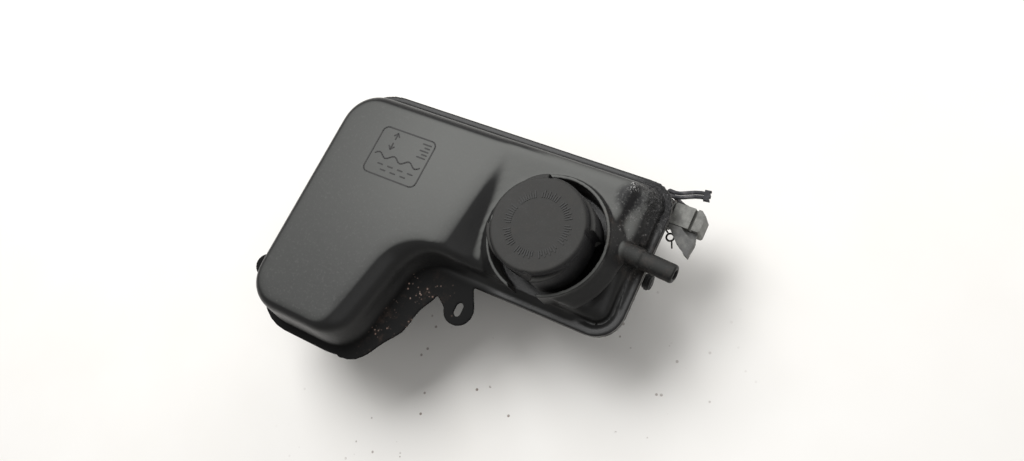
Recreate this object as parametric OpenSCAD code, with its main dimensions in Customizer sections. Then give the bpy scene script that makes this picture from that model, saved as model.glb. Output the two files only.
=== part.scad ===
/* [Tank outline] */
// Right end of the welded rim, measured from the filler neck
end_x = 57; // [54:0.5:62]
// Left end of the welded rim, measured from the filler neck
lobe_x = 184.5; // [170:0.5:200]
// Back edge of the welded rim, measured from the filler neck
back_y = 60.4; // [59:0.2:66]
// Front edge of the right part, measured from the filler neck
front_y = 43; // [41:0.5:48]
// Front edge of the lobe, measured from the filler neck
lobe_y = 119; // [112:1:130]
// Where the front corner of the lobe lies, measured from the filler neck
lobe_corner_x = 91; // [88:1:98]
// Where the inner bend lies, measured from the filler neck
bend_x = 73.5; // [71:0.5:76]
// Corner radius at the right end
end_r = 18; // [17.5:0.5:24]
// Corner radius at the left end
lobe_r = 33; // [28:1:36]
// Radius of the lobe's corner beside the bend
nose_r = 32; // [31:0.5:34]
// Radius of the inner bend at the rim
bend_r = 20; // [16:1:24]

/* [Heights] */
// Height of the welded joint above the underside
joint_h = 66; // [64:1:72]
// Height of the top face at the back edge
top_h = 90; // [87:0.5:94]
// Tilt of the lobe, which rises towards the front
lobe_tilt = 3; // [0:0.5:5]
// Tilt of the right part, which falls towards the front
right_tilt = 7; // [4:0.5:8]
// Drop from the right part to the shelf at the right end
shelf_drop = 6; // [2:0.5:7]

/* [Shells] */
// Wall of both shells
wall = 2.6; // [2:0.1:3]
// Width of the welded rim beside the wall
rim_w = 4.5; // [3.5:0.5:5.5]
// Thickness of each half of the rim
rim_t = 2.5; // [2:0.1:3.5]
// How far the upper walls lean in
lean_top = 4; // [3:0.5:5]
// How far the lower walls lean in
lean_low = 2.5; // [1.5:0.5:3]
// Rounding where the walls meet the top face
edge_r = 8; // [6.5:0.5:9]
// Rounding of the wall along the inner bend
bend_edge_r = 18; // [12:0.5:19]
// Rounding where the lower walls meet the underside
base_r = 9; // [6:0.5:10]
// How far the lower walls on the right slope in for each millimetre down
slope_right = 0.46; // [0.3:0.02:0.48]
// How far the lower walls in front slope in for each millimetre down
slope_front = 0.19; // [0.1:0.01:0.22]
// Left end of the dip between the lobe and the right part
dip_x = 60.5; // [59:0.5:62]
// Width of the dip along the back edge
dip_w = 15.5; // [12:0.5:17]
// Right end of the dip along the front edge
dip_right_x = 40; // [37:0.5:44]
// Width of the slope down to the shelf along the back edge
shelf_w = 3; // [2:0.5:6]
// Width of the slope down to the shelf along the front edge
shelf_front_w = 15; // [8:0.5:18]

/* [Well and neck] */
// Bore radius of the round well about the cap
well_r = 36.3; // [35:0.1:38]
// Wall of the well
well_wall = 2.2; // [1.8:0.1:2.6]
// Height of the well's floor
well_floor_h = 72; // [70:0.5:75]
// Height of the well's rim
well_rim_h = 93; // [91:0.5:95]
// Thickness of the well's floor
floor_t = 2.4; // [2:0.1:3]
// Bore radius of the filler neck
neck_bore_r = 16.5; // [16:0.1:17]
// Wall of the filler neck
neck_wall = 5; // [4:0.1:5.2]
// Height of the filler neck's mouth
neck_h = 103; // [101:0.5:104]
// How far the collar about the well flares out at its foot
flare = 8; // [4:0.5:9]
// Height of the flare
flare_h = 13; // [10:0.5:14]

/* [Cap] */
// Radius of the cap's top disc
cap_r = 30; // [29:0.1:31]
// How far each grip swells from its start to its end
grip_swell = 5; // [2:0.1:5.4]
// Number of grips
grips = 4; // [3:1:6]
// Room between the cap's top and the valve housing
cap_room = 2.8; // [1:0.1:4]
// Depth of the cap from its top to its lower edge
cap_depth = 27; // [22:0.5:29]
// Thickness of the cap's top
cap_top_t = 2.6; // [2.2:0.1:3]
// Wall of the cap's outer skirt
cap_wall = 2.4; // [2:0.1:3]
// Wall of the cap's threaded inner skirt
thread_wall = 2.3; // [2:0.1:3]
// How far the raised disc stands above the grips
disc_step = 5; // [2:0.5:6]

/* [Valves] */
// Outer radius of the valve housing
valve_r = 15.9; // [15.6:0.1:16]
// Wall of the valve housing
valve_wall = 2.3; // [1.8:0.1:2.6]
// Height of the valve housing's lower end
valve_base_h = 68; // [67:0.5:69]
// Radius of the pressure valve's plate
plate_r = 12; // [11:0.1:12.6]
// Travel of the pressure valve
pressure_travel = 3; // [2:0.5:4]
// Travel of the vacuum valve
vacuum_travel = 2; // [1:0.5:2.5]
// Wire of the pressure spring
pressure_wire = 1.3; // [1:0.1:1.6]
// Turns of the pressure spring
pressure_turns = 6; // [5:1:7]

/* [Nipple and ears] */
// Outer radius of the vent nipple
nipple_r = 5.8; // [4:0.1:6]
// Bore radius of the vent nipple
nipple_bore_r = 3; // [2:0.1:3.4]
// How far the vent nipple reaches to the right of the neck
nipple_reach = 77; // [72:1:90]
// Height of the vent nipple's axis
nipple_h = 78; // [76.5:0.5:79]
// Place of the vent nipple behind the neck axis
nipple_y = 10.5; // [9:0.5:12]
// Width of the front ear
ear_w = 20.6; // [17:0.2:22]
// How far the front ear stands out from the rim
ear_reach = 27; // [24:0.5:32]
// Place of the front ear, to the left of the neck axis
ear_x = 42.7; // [41:0.1:44]
// Width of the slot in the front ear
slot_w = 4.8; // [4.6:0.2:6]
// Length of the slot in the front ear
slot_l = 9; // [7:0.5:12]
// Radius of the left lug
lug_r = 8; // [7:0.5:10]
// Bore radius of the left lug
lug_bore_r = 3.3; // [2.5:0.1:4]
// Place of the left lug, in front of the neck axis
lug_y = 85; // [75:1:88]

/* [Lower shell] */
// Outer radius of the outlet spout
spout_r = 9; // [8:0.1:10]
// Bore radius of the outlet spout
spout_bore_r = 7; // [5:0.1:7.5]
// Length of the outlet spout
spout_l = 27; // [20:1:40]
// Height of the outlet spout's axis
spout_h = 21; // [20:0.5:26]
// Radius of the locating peg
peg_r = 3; // [2.5:0.1:3.6]
// Length of the locating peg
peg_l = 7; // [6:0.5:12]
// Height of the locating peg's axis
peg_h = 52; // [46:0.5:53]
// Thickness of the baffle inside
baffle_t = 2; // [1.5:0.1:3]

/* [Level float] */
// Outer radius of the float
float_r = 11; // [9:0.1:12]
// Height of the float
float_h = 16; // [12:0.5:20]
// Radius of the float's guide post
post_r = 3; // [2.5:0.1:4]
// Travel of the float
float_travel = 30; // [20:1:32]

/* [Level sensor and plug] */
// Bore radius of the sensor's pocket
pocket_r = 6.6; // [6:0.1:7]
// Length of the sensor's pocket inside the tank
pocket_l = 44; // [36:1:50]
// Place of the sensor's axis behind the neck axis
sensor_y = 48.4; // [47.9:0.1:48.8]
// Height of the sensor's axis
sensor_h = 50; // [49:0.5:51]
// Width of the plug
plug_w = 13.8; // [13:0.2:14.2]
// Height of the plug
plug_t = 16; // [14:0.5:17]
// Right end of the plug, measured from the filler neck
plug_end_x = 74.6; // [73:0.2:80]
// Diameter of each lead
lead_d = 2.5; // [1.6:0.1:2.6]

/* [Hidden] */
$fn = 48;
// Overlap that makes two solids of one piece fuse, or a cut run past a face
eps = 0.6;
// Radial gap of a part that turns or slides in its seat
fit_gap = 0.05;
// Gap between parts that pass each other
part_gap = 0.4;
// Where cuts that run out of the top end
clear_h = 130;
// Facets of the widest circles
fine = 96;
black = "#26282a";
soft_black = "#1c1c1d";
grey = "#4a4c4e";
steel = "#b9bcc0";
natural = "#d8d4c6";
seal_red = "#5a2b20";
brass = "#b9975b";
lead_black = "#2b2a30";

// Heights of the cap, and of the flange that carries the valve housing on the neck
gasket_t = 1.6;
flange_t = 2;
flange_h = neck_h + gasket_t;
cap_h = flange_h + flange_t + cap_room + cap_top_t;

// Heights of the sloped faces, which meet the back edge's height on this line
hinge_y = back_y - 12.4;
function lobe_z(y) = top_h + tan(lobe_tilt) * (hinge_y - y);
function right_z(y) = top_h - tan(right_tilt) * (hinge_y - y);
function shelf_z(y) = right_z(y) - shelf_drop;
function mix(a, b, t) = a + (b - a) * t;
function smooth(t) = t * t * (3 - 2 * t);
function top_z(y, level) =
    level <= 1 ? mix(lobe_z(y), right_z(y), level) : mix(right_z(y), shelf_z(y), level - 1);

// Rim outline: each corner has its place, radius and number of steps, counterclockwise
corner_steps = 7;
bend_steps = 15;
dip_bend_steps = 5;
dip_straight_steps = 4;
dip_steps = dip_bend_steps + dip_straight_steps;
shelf_steps = 4;
corners = [
    [[end_x, back_y], end_r, corner_steps],
    [[-lobe_x, back_y], lobe_r, corner_steps],
    [[-lobe_x, -lobe_y], lobe_r, corner_steps],
    [[-lobe_corner_x, -lobe_y], nose_r, corner_steps],
    [[-bend_x, -front_y], bend_r, bend_steps],
    [[end_x, -front_y], end_r, corner_steps]
];
function unit(v) = v / norm(v);
function spin(v, a) = [v.x * cos(a) - v.y * sin(a), v.x * sin(a) + v.y * cos(a)];
function away(d) = [d.y, -d.x];
function heading(i) =
    unit(corners[(i + 1) % len(corners)][0] - corners[i % len(corners)][0]);

// How far each corner follows the slopes of the lower walls: [to the left, to the back]
follows = [[1, 0], [0, 0], [0, 1], [1, 1], [1, 1], [1, 1]];
// One rim point is [place, outward direction, level of the top, rounding at the top, follows]
function dip_share(x) = smooth(max(0, (x - dip_start_x) / (-dip_right_x - dip_start_x)));
function level_at(i, x) = i == 0 || i == 5 ? 2 : i == 4 ? dip_share(x) : 0;
function rounding_at(i, k) =
    i == 3 ? mix(edge_r, bend_edge_r, smooth(k / corner_steps))
    : i == 4 ? mix(bend_edge_r, edge_r, smooth(k / bend_steps))
    : edge_r;
function arc_places(i) =
    let (
        before = heading(i + len(corners) - 1),
        after = heading(i),
        turn = atan2(before.x * after.y - before.y * after.x, before * after),
        side = sign(turn),
        r = corners[i][1],
        start = corners[i][0] - before * r * tan(abs(turn) / 2),
        centre = start - side * r * away(before)
    )
    [for (k = [0 : corners[i][2]])
        let (n = spin(away(before), turn * k / corners[i][2]))
        [centre + side * r * n, n]];
dip_start_x = arc_places(4)[bend_steps - dip_bend_steps][0].x;
function arc(i) = [for (k = [0 : corners[i][2]])
    let (p = arc_places(i)[k])
    [p[0], p[1], level_at(i, p[0].x), rounding_at(i, k), follows[i]]];
function back_point(x, level) = [[x, back_y], [0, 1], level, edge_r, follows[0]];
function front_point(x, level) = [[x, -front_y], [0, -1], level, edge_r, follows[5]];
shelf_end_x = end_x - end_r;
back_shelf = [for (k = [1 : shelf_steps])
    back_point(shelf_end_x - shelf_w * k / shelf_steps, 2 - smooth(k / shelf_steps))];
back_dip = [for (k = [0 : dip_steps])
    back_point(-dip_x + dip_w * (1 - k / dip_steps), smooth(1 - k / dip_steps))];
bend_end_x = arc_places(4)[bend_steps][0].x;
front_dip = [for (k = [1 : dip_straight_steps])
    let (x = mix(bend_end_x, -dip_right_x, k / dip_straight_steps))
    front_point(x, dip_share(x))];
front_shelf = [for (k = [0 : shelf_steps - 1])
    front_point(shelf_end_x - shelf_front_w * (1 - k / shelf_steps), 1 + smooth(k / shelf_steps))];
rim_points = concat(
    arc(0), back_shelf, back_dip, arc(1), arc(2), arc(3), arc(4), front_dip, front_shelf, arc(5)
);
rim_n = len(rim_points);

// Places in the list where the runs begin and end
shelf_back_i = corner_steps;
dip_back_i = shelf_back_i + shelf_steps + 1;
far_i = dip_back_i + dip_steps + 1;
bend_first_i = far_i + 3 * (corner_steps + 1);
bend_last_i = bend_first_i + bend_steps;
dip_front_i = bend_last_i - dip_bend_steps;
dip_last_i = bend_last_i + dip_straight_steps;
shelf_front_i = dip_last_i + 1;

function inset(p, d) = p[0] - p[1] * d;
function at_height(p, d, z) = [inset(p, d).x, inset(p, d).y, z];

// Upper skin: foot, straight wall, rounded edge; gap is 0 outside and the wall inside
round_steps = 4;
function skin_edge(p, a, gap) =
    let (
        r = max(1, p[3] - gap),
        d = rim_w + lean_top + gap + r * (1 - cos(a)),
        q = inset(p, d)
    )
    [q.x, q.y, top_z(q.y, p[2]) - gap - r * (1 - sin(a))];
function ring(d, z) = [for (p = rim_points) at_height(p, d, z)];
function upper_edges(gap) =
    [for (k = [0 : round_steps]) for (p = rim_points) skin_edge(p, 90 * k / round_steps, gap)];
function upper_outside() = concat(
    ring(0, joint_h), ring(0, joint_h + rim_t), ring(rim_w, joint_h + rim_t), upper_edges(0)
);
function upper_inside(gap) = concat(ring(rim_w + gap, joint_h - 1), upper_edges(gap));
// Lower skin: rounded base, sloped wall, rim at the joint
function slid(p, d, z) =
    let (depth = joint_h - rim_t - z)
    at_height(p, d, z) + depth * [-slope_right * p[4].x, slope_front * p[4].y, 0];
function lower_ring(d, z) = [for (p = rim_points) slid(p, d, z)];
function lower_edges(gap) = [
    for (k = [round_steps : -1 : 0])
        let (a = 90 * k / round_steps, r = base_r - gap)
        each lower_ring(rim_w + lean_low + gap + r * (1 - cos(a)), gap + r * (1 - sin(a)))
];
function lower_outside() = concat(
    lower_edges(0), ring(rim_w, joint_h - rim_t), ring(0, joint_h - rim_t), ring(0, joint_h)
);
function lower_inside(gap) = concat(
    lower_edges(gap), ring(rim_w + gap, joint_h - rim_t), ring(rim_w + gap, joint_h + 1)
);
function side_faces(layers) = [
    for (j = [0 : layers - 2]) for (i = [0 : rim_n - 1])
        let (a = j * rim_n + i, b = j * rim_n + (i + 1) % rim_n)
        each [[a, a + rim_n, b + rim_n], [a, b + rim_n, b]]
];
// The hollow bend is split into triangles that meet at the back left corner
function bend_fan(last) = [for (i = [bend_first_i : last - 1]) [far_i, i, i + 1]];
function lobe_face() = [for (i = [far_i : bend_first_i]) i];
function floor_faces() = concat(
    [lobe_face()],
    bend_fan(bend_last_i),
    [concat([for (i = [0 : far_i]) i], [for (i = [bend_last_i : rim_n - 1]) i])]
);
function lifted(faces, base) = [for (f = faces) [for (k = [len(f) - 1 : -1 : 0]) base + f[k]]];
// Strip of the top between two straight columns that run from front to back
function strip(base, front, back, count) = [
    for (m = [0 : count - 1]) each [
        [base + front + m, base + back - m, base + back - m - 1],
        [base + front + m, base + back - m - 1, base + front + m + 1]
    ]
];
function top_faces(base) = concat(
    lifted(concat([lobe_face()], bend_fan(dip_front_i), [[far_i - 1, far_i, dip_front_i]]), base),
    strip(base, dip_front_i, dip_back_i + dip_steps, dip_steps),
    [[base + dip_back_i, base + shelf_back_i + shelf_steps, base + shelf_front_i, base + dip_last_i]],
    strip(base, shelf_front_i, shelf_back_i + shelf_steps, shelf_steps),
    [concat(
        [for (i = [shelf_back_i : -1 : 0]) base + i],
        [for (i = [rim_n - 1 : -1 : shelf_front_i + shelf_steps]) base + i]
    )]
);

module upper_form(skin) {
    layers = len(skin) / rim_n;
    polyhedron(
        points = skin,
        faces = concat(floor_faces(), side_faces(layers), top_faces((layers - 1) * rim_n)),
        convexity = 6
    );
}
module lower_form(skin) {
    layers = len(skin) / rim_n;
    polyhedron(
        points = skin,
        faces = concat(floor_faces(), side_faces(layers), lifted(floor_faces(), (layers - 1) * rim_n)),
        convexity = 6
    );
}
module tube(r, bore, h) {
    difference() {
        cylinder(r = r, h = h);
        translate([0, 0, -eps]) cylinder(r = bore, h = h + 2 * eps);
    }
}
// Coil of round wire about the Z axis, with closed ends
wire_sides = 6;
turn_steps = 14;
function coil_ring(r, wire, z, a) = [
    for (s = [0 : wire_sides - 1])
        let (b = 360 * s / wire_sides, out = r + wire / 2 * cos(b), up = wire / 2 * sin(b))
        [out * cos(a), out * sin(a), z + up]
];
module coil(r, wire, z0, z1, turns) {
    rings = turns * turn_steps;
    path = [for (k = [0 : rings])
        coil_ring(r, wire, mix(z0 + wire / 2, z1 - wire / 2, k / rings), 360 * k / turn_steps)];
    polyhedron(
        points = [for (ring = path) each ring],
        faces = concat(
            [[for (s = [0 : wire_sides - 1]) s]],
            [for (k = [0 : rings - 1]) for (s = [0 : wire_sides - 1])
                let (a = k * wire_sides + s, b = k * wire_sides + (s + 1) % wire_sides)
                each [[a, a + wire_sides, b + wire_sides], [a, b + wire_sides, b]]],
            [[for (s = [wire_sides - 1 : -1 : 0]) rings * wire_sides + s]]
        ),
        convexity = 10
    );
}

// Well, neck and drain notch
cup_r = well_r + well_wall;
cup_base_h = well_floor_h - floor_t;
neck_r = neck_bore_r + neck_wall;
notch = [[-15, -24], [-9.8, -34.9], [0, -front_y - 4], [12, -front_y - 4], [8.5, -24]];
module notch_form(grow, z0) {
    translate([0, 0, z0]) linear_extrude(clear_h - z0) offset(delta = grow) polygon(notch);
}
module well_cup() {
    translate([0, 0, cup_base_h]) cylinder(r = cup_r, h = clear_h - cup_base_h, $fn = fine);
}

// Vent nipple: saddle, tube with a bevelled end and web below, drawn along X from the neck
nipple_turn = -4;
turn_x = 38;
saddle_r = nipple_r + 0.8;
saddle_x = 43.5;
saddle_end_x = end_x - 2;
bevel = 1;
web_w = 5;
module nipple_place() {
    translate([turn_x, nipple_y, nipple_h]) rotate([0, 0, nipple_turn])
        translate([-turn_x, 0, 0]) rotate([0, 90, 0]) children();
}
module nipple_solid() {
    nipple_place() {
        translate([0, 0, saddle_x]) cylinder(r = nipple_r, h = nipple_reach - bevel - saddle_x);
        translate([0, 0, nipple_reach - bevel]) cylinder(r1 = nipple_r, r2 = nipple_r - bevel, h = bevel);
        translate([0, 0, saddle_x]) cylinder(r = saddle_r, h = saddle_end_x - saddle_x);
        translate([0, 0, saddle_x]) sphere(r = saddle_r, $fn = 32);
    }
    translate([saddle_x, nipple_y - web_w, joint_h + 1])
        cube([saddle_end_x - saddle_x - 0.5, web_w, nipple_h - joint_h - 1]);
}
module nipple_bore() {
    nipple_place() translate([0, 0, saddle_x - 1]) cylinder(r = nipple_bore_r, h = nipple_reach);
}

// Front ear with its slot, and the web that fills the inner bend beside it
ear_r = ear_w / 2;
ear_y = -front_y - ear_reach + ear_r;
slot_half = (slot_l - slot_w) / 2;
plate_low = joint_h + 0.3;
plate_thick = rim_t - 0.6;
ear_lean = 28.7;
ear_root_x = ear_x - 2.5;
web_corner = [-60.6, -56.7];
web_edge = [
    [-62.2, -61], [-64.8, -65.4], [-67.4, -70.6], [-69, -76.2], [-70, -81.6], [-71.4, -86.2],
    [-73.6, -90], [-76.5, -93.6], [-80, -97.8], [-83, -102.4], [-86, -107.4], [-89.4, -111.8],
    [-93.6, -115.4], [-98.6, -117.6], [-105, -118.7]
];
web_inside = [
    [-112, -115.8], [-100, -111], [-92, -102], [-87, -88], [-83, -70], [-80, -56], [-70, -43], [-60, -40]
];
module ear_plate() {
    tangent = [-ear_x + ear_r * cos(ear_lean), ear_y + ear_r * sin(ear_lean)];
    translate([-ear_x, ear_y]) circle(r = ear_r);
    polygon(concat(
        [[-ear_root_x, -front_y + rim_w / 2], [-ear_root_x, -front_y], tangent, [-ear_x, ear_y]],
        [[-ear_x - ear_r * cos(ear_lean / 2), ear_y - ear_r * sin(ear_lean / 2)], web_corner],
        web_edge, web_inside
    ));
}
module ear() {
    translate([0, 0, plate_low]) linear_extrude(plate_thick) difference() {
        ear_plate();
        for (side = [-1, 1]) translate([-ear_x, ear_y + side * slot_half]) circle(r = slot_w / 2);
        translate([-ear_x - slot_w / 2, ear_y - slot_half]) square([slot_w, 2 * slot_half]);
    }
}

// Left lug under the rim
lug_t = rim_t + 1.6;
lug_drop = 0.4;
module lug() {
    translate([-lobe_x - lug_r, -lug_y, joint_h - lug_t - lug_drop]) difference() {
        union() {
            cylinder(r = lug_r, h = lug_t);
            translate([0, -lug_r, 0]) cube([lug_r + rim_w, 2 * lug_r, lug_t]);
        }
        translate([0, 0, -eps]) cylinder(r = lug_bore_r, h = lug_t + 2 * eps);
    }
}

// Small step at the foot of the wall round the back right corner
step_h = 8;
step_w = 7.5;
step_gap = 0.5;
step_corner = concat(
    [for (p = arc(0)) inset(p, rim_w + step_gap)],
    [for (k = [corner_steps : -1 : 0]) inset(arc(0)[k], rim_w + step_gap + step_w)]
);
module corner_step() {
    step_y = nipple_y + 8;
    translate([0, 0, joint_h + 1]) linear_extrude(step_h - 1) polygon(step_corner);
    translate([end_x - rim_w - step_gap - step_w, step_y, joint_h + 1])
        cube([step_w, back_y - end_r - step_y, step_h - 1]);
}

// Collar about the well: flared foot that dies into the top face, straight wall above
collar_lip = 1.2;
module collar() {
    flare_top = well_rim_h - collar_lip;
    translate([0, 0, joint_h + 10]) cylinder(r = cup_r, h = well_rim_h - joint_h - 10, $fn = fine);
    intersection() {
        translate([0, 0, flare_top - flare_h])
            cylinder(r1 = cup_r + flare, r2 = cup_r - eps, h = flare_h, $fn = fine);
        translate([0, 0, joint_h + 5]) linear_extrude(flare_top - joint_h)
            polygon([for (p = rim_points) inset(p, rim_w + lean_top + eps)]);
    }
}

module upper_shell() {
    color(black) difference() {
        union() {
            difference() {
                union() {
                    upper_form(upper_outside());
                    ear();
                    corner_step();
                    collar();
                    nipple_solid();
                }
                difference() {
                    upper_form(upper_inside(wall));
                    well_cup();
                    notch_form(well_wall, cup_base_h);
                }
                translate([0, 0, well_floor_h]) cylinder(r = well_r, h = clear_h, $fn = fine);
                notch_form(0, well_floor_h);
            }
            translate([0, 0, cup_base_h + 1]) cylinder(r = neck_r, h = neck_h - cup_base_h - 1);
        }
        translate([0, 0, joint_h]) cylinder(r = neck_bore_r, h = clear_h);
        nipple_bore();
    }
}

// Lower shell with its outlet, sensor pocket, float post, peg and baffle
wall_x = end_x - rim_w;
wall_slope = slope_right + lean_low / (joint_h - rim_t - base_r);
function wall_at(z) = wall_x - wall_slope * (joint_h - rim_t - z);
post_x = 2;
post_y = 26;
post_boss_w = 2;
post_boss_h = 3.4;
post_room = 4;
float_rest_h = wall + post_boss_h + part_gap;
post_top_h = float_rest_h + float_h + float_travel + post_room;
pocket_wall = 2;
socket_x = wall_x - 1.9;
spout_y = 40;
spout_root_x = -lobe_x + rim_w + 5;
spout_boss_w = 2;
spout_boss_l = 7;
baffle_x = 54;
baffle_h = 44;
baffle_slot = [14, 10];
module along_x(x, y, z) {
    translate([x, y, z]) rotate([0, 90, 0]) children();
}
module outlet_solid() {
    translate([spout_root_x, -spout_y, spout_h]) rotate([0, -90, 0]) {
        cylinder(r = spout_r + spout_boss_w, h = spout_boss_l);
        cylinder(r = spout_r, h = spout_l + 5 - bevel);
        translate([0, 0, spout_l + 5 - bevel]) cylinder(r1 = spout_r, r2 = spout_r - bevel, h = bevel);
    }
}
module pocket_solid() {
    along_x(wall_x - pocket_l, sensor_y, sensor_h)
        cylinder(r = pocket_r + pocket_wall, h = socket_x - wall_x + pocket_l);
}
module peg() {
    root_x = wall_at(peg_h) - wall / 2;
    along_x(root_x, nipple_y - 7, peg_h) cylinder(r = peg_r, h = wall_x + peg_l - root_x);
}
module baffle() {
    translate([-baffle_x, -front_y, wall / 2]) cube([baffle_t, front_y + back_y, baffle_h]);
}
module lower_shell() {
    color(black) difference() {
        union() {
            difference() {
                union() {
                    lower_form(lower_outside());
                    outlet_solid();
                    peg();
                    lug();
                }
                difference() {
                    lower_form(lower_inside(wall));
                    pocket_solid();
                    baffle();
                    translate([post_x, post_y, 0]) {
                        cylinder(r = post_r, h = post_top_h);
                        cylinder(r = post_r + post_boss_w, h = wall + post_boss_h);
                    }
                }
            }
            along_x(wall_at(sensor_h) - 8, sensor_y, sensor_h)
                cylinder(r = pocket_r + pocket_wall, h = socket_x - wall_at(sensor_h) + 8);
        }
        along_x(wall_x - pocket_l + pocket_wall, sensor_y, sensor_h)
            cylinder(r = pocket_r, h = pocket_l + 10);
        translate([spout_root_x + 15, -spout_y, spout_h]) rotate([0, -90, 0])
            cylinder(r = spout_bore_r, h = spout_l + 40);
        for (y = [-12, 22]) translate([-baffle_x - eps, y, wall])
            cube([baffle_t + 2 * eps, baffle_slot.x, baffle_slot.y]);
    }
}

// Cap: raised disc, ratchet grips and threaded inner skirt
cap_base_h = cap_h - cap_depth;
cap_edge = 1.5;
thread_r = neck_r + 0.5;
thread_start = 2;
grip_steps = 10;
grip_pitch = 360 / grips;
grip_start = 97;
grip_gap = 8;
thumb_r = 2.6;
function grip_outline(inner) = [
    for (g = [0 : grips - 1]) for (k = [0 : grip_steps])
        let (a = grip_start - g * grip_pitch - (grip_pitch - grip_gap) * k / grip_steps,
            r = inner + grip_swell * smooth(k / grip_steps))
        [r * cos(a), r * sin(a)]
];
module cap_cover() {
    color(black) {
        difference() {
            union() {
                translate([0, 0, cap_base_h]) linear_extrude(cap_depth - disc_step)
                    polygon(grip_outline(cap_r - cap_edge));
                translate([0, 0, cap_base_h]) cylinder(r = cap_r - 1, h = cap_depth - cap_edge, $fn = fine);
                translate([0, 0, cap_h - disc_step])
                    cylinder(r = cap_r, h = disc_step - cap_edge, $fn = fine);
                translate([0, 0, cap_h - cap_edge])
                    cylinder(r1 = cap_r, r2 = cap_r - cap_edge, h = cap_edge, $fn = fine);
            }
            translate([0, 0, cap_base_h - eps])
                cylinder(r = cap_r - 1 - cap_wall, h = cap_depth - cap_top_t + eps, $fn = fine);
            for (g = [0 : grips - 1]) rotate([0, 0, grip_start + grip_gap / 2 - g * grip_pitch])
                translate([cap_r + thumb_r / 2, 0, cap_base_h + cap_wall])
                    cylinder(r = thumb_r, h = cap_depth);
        }
        translate([0, 0, cap_base_h + thread_start])
            tube(thread_r + thread_wall, thread_r, cap_depth - cap_top_t - thread_start + eps);
    }
}

// Valve housing that the cap carries in the neck
flange_r = thread_r - part_gap;
housing_bore = valve_r - valve_wall;
seat_t = 2.4;
seat_r = plate_r - 3.2;
groove_w = 3.2;
groove_h = 82;
groove_r = valve_r - 1.2;
window = [4, 5];
gasket_h = valve_base_h + seat_t + fit_gap;
seat_gasket_t = 1.5;
plate_h = gasket_h + seat_gasket_t;
plate_t = 2;
spring_room = 13.25;
stop_h = plate_h + plate_t + pressure_wire * pressure_turns + pressure_travel + spring_room;
stop_t = 2;
stop_hole_r = 2;
module valve_housing() {
    color(grey) difference() {
        union() {
            translate([0, 0, valve_base_h]) cylinder(r = valve_r, h = flange_h - valve_base_h + 1);
            translate([0, 0, flange_h]) cylinder(r = flange_r, h = flange_t);
        }
        translate([0, 0, valve_base_h + seat_t]) cylinder(r = housing_bore, h = clear_h);
        translate([0, 0, valve_base_h - eps]) cylinder(r = seat_r, h = seat_t + 2 * eps);
        translate([0, 0, groove_h]) difference() {
            cylinder(r = valve_r + eps, h = groove_w);
            translate([0, 0, -eps]) cylinder(r = groove_r, h = groove_w + 2 * eps);
        }
        for (a = [0 : 90 : 270]) rotate([0, 0, a])
            translate([0, -window.x / 2, groove_h + groove_w + 4]) cube([valve_r + eps, window.x, window.y]);
    }
}
module neck_gasket() {
    color(soft_black) translate([0, 0, neck_h + fit_gap])
        tube(neck_r - 0.3, valve_r + fit_gap, gasket_t - 2 * fit_gap);
}
module valve_o_ring() {
    ring_r = (neck_bore_r - fit_gap - groove_r) / 2;
    color(soft_black) translate([0, 0, groove_h + groove_w / 2])
        rotate_extrude() translate([groove_r + ring_r, 0]) circle(r = ring_r, $fn = 24);
}
module spring_stop() {
    color(grey) translate([0, 0, stop_h]) difference() {
        tube(housing_bore - fit_gap, 4.5, stop_t);
        for (a = [0 : 60 : 300]) rotate([0, 0, a])
            translate([8.5, 0, -eps]) cylinder(r = stop_hole_r, h = stop_t + 2 * eps, $fn = 24);
    }
}

// Pressure valve and the vacuum valve in its middle
spring_r = plate_r - 1.6;
stem_r = 2.6;
stem_hole_r = stem_r + fit_gap;
cup_inner_r = 6;
cup_lip_h = 3;
spring_clear = 0.3;
vacuum_disc_t = 1.2;
vacuum_wire = 0.7;
vacuum_turns = 4;
vacuum_spring_r = 4;
vacuum_room = 1.2;
collar_r = 4.6;
collar_t = 1.4;
collar_h = plate_h + plate_t + vacuum_wire * vacuum_turns + vacuum_travel + vacuum_room;
module pressure_plate() {
    color(natural) difference() {
        union() {
            translate([0, 0, plate_h]) cylinder(r = plate_r, h = plate_t);
            translate([0, 0, plate_h])
                cylinder(r = spring_r - pressure_wire / 2 - spring_clear, h = plate_t + cup_lip_h);
        }
        translate([0, 0, plate_h - eps]) cylinder(r = stem_hole_r, h = clear_h);
        translate([0, 0, plate_h + plate_t]) cylinder(r = cup_inner_r, h = clear_h);
    }
}
module pressure_gasket() {
    color(soft_black) translate([0, 0, gasket_h])
        tube(plate_r - 0.4, seat_r - 1, seat_gasket_t);
}
module pressure_spring() {
    color(steel) coil(spring_r, pressure_wire, plate_h + plate_t, stop_h, pressure_turns);
}
module vacuum_valve() {
    disc_h = plate_h - fit_gap - vacuum_disc_t;
    color(natural) {
        translate([0, 0, disc_h]) cylinder(r = seat_r - 1.6, h = vacuum_disc_t);
        translate([0, 0, disc_h + vacuum_disc_t / 2])
            cylinder(r = stem_r, h = collar_h + (collar_t - vacuum_disc_t) / 2 - disc_h);
        translate([0, 0, collar_h]) cylinder(r = collar_r, h = collar_t);
    }
}
module vacuum_spring() {
    color(steel) coil(vacuum_spring_r, vacuum_wire, plate_h + plate_t, collar_h, vacuum_turns);
}

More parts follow.
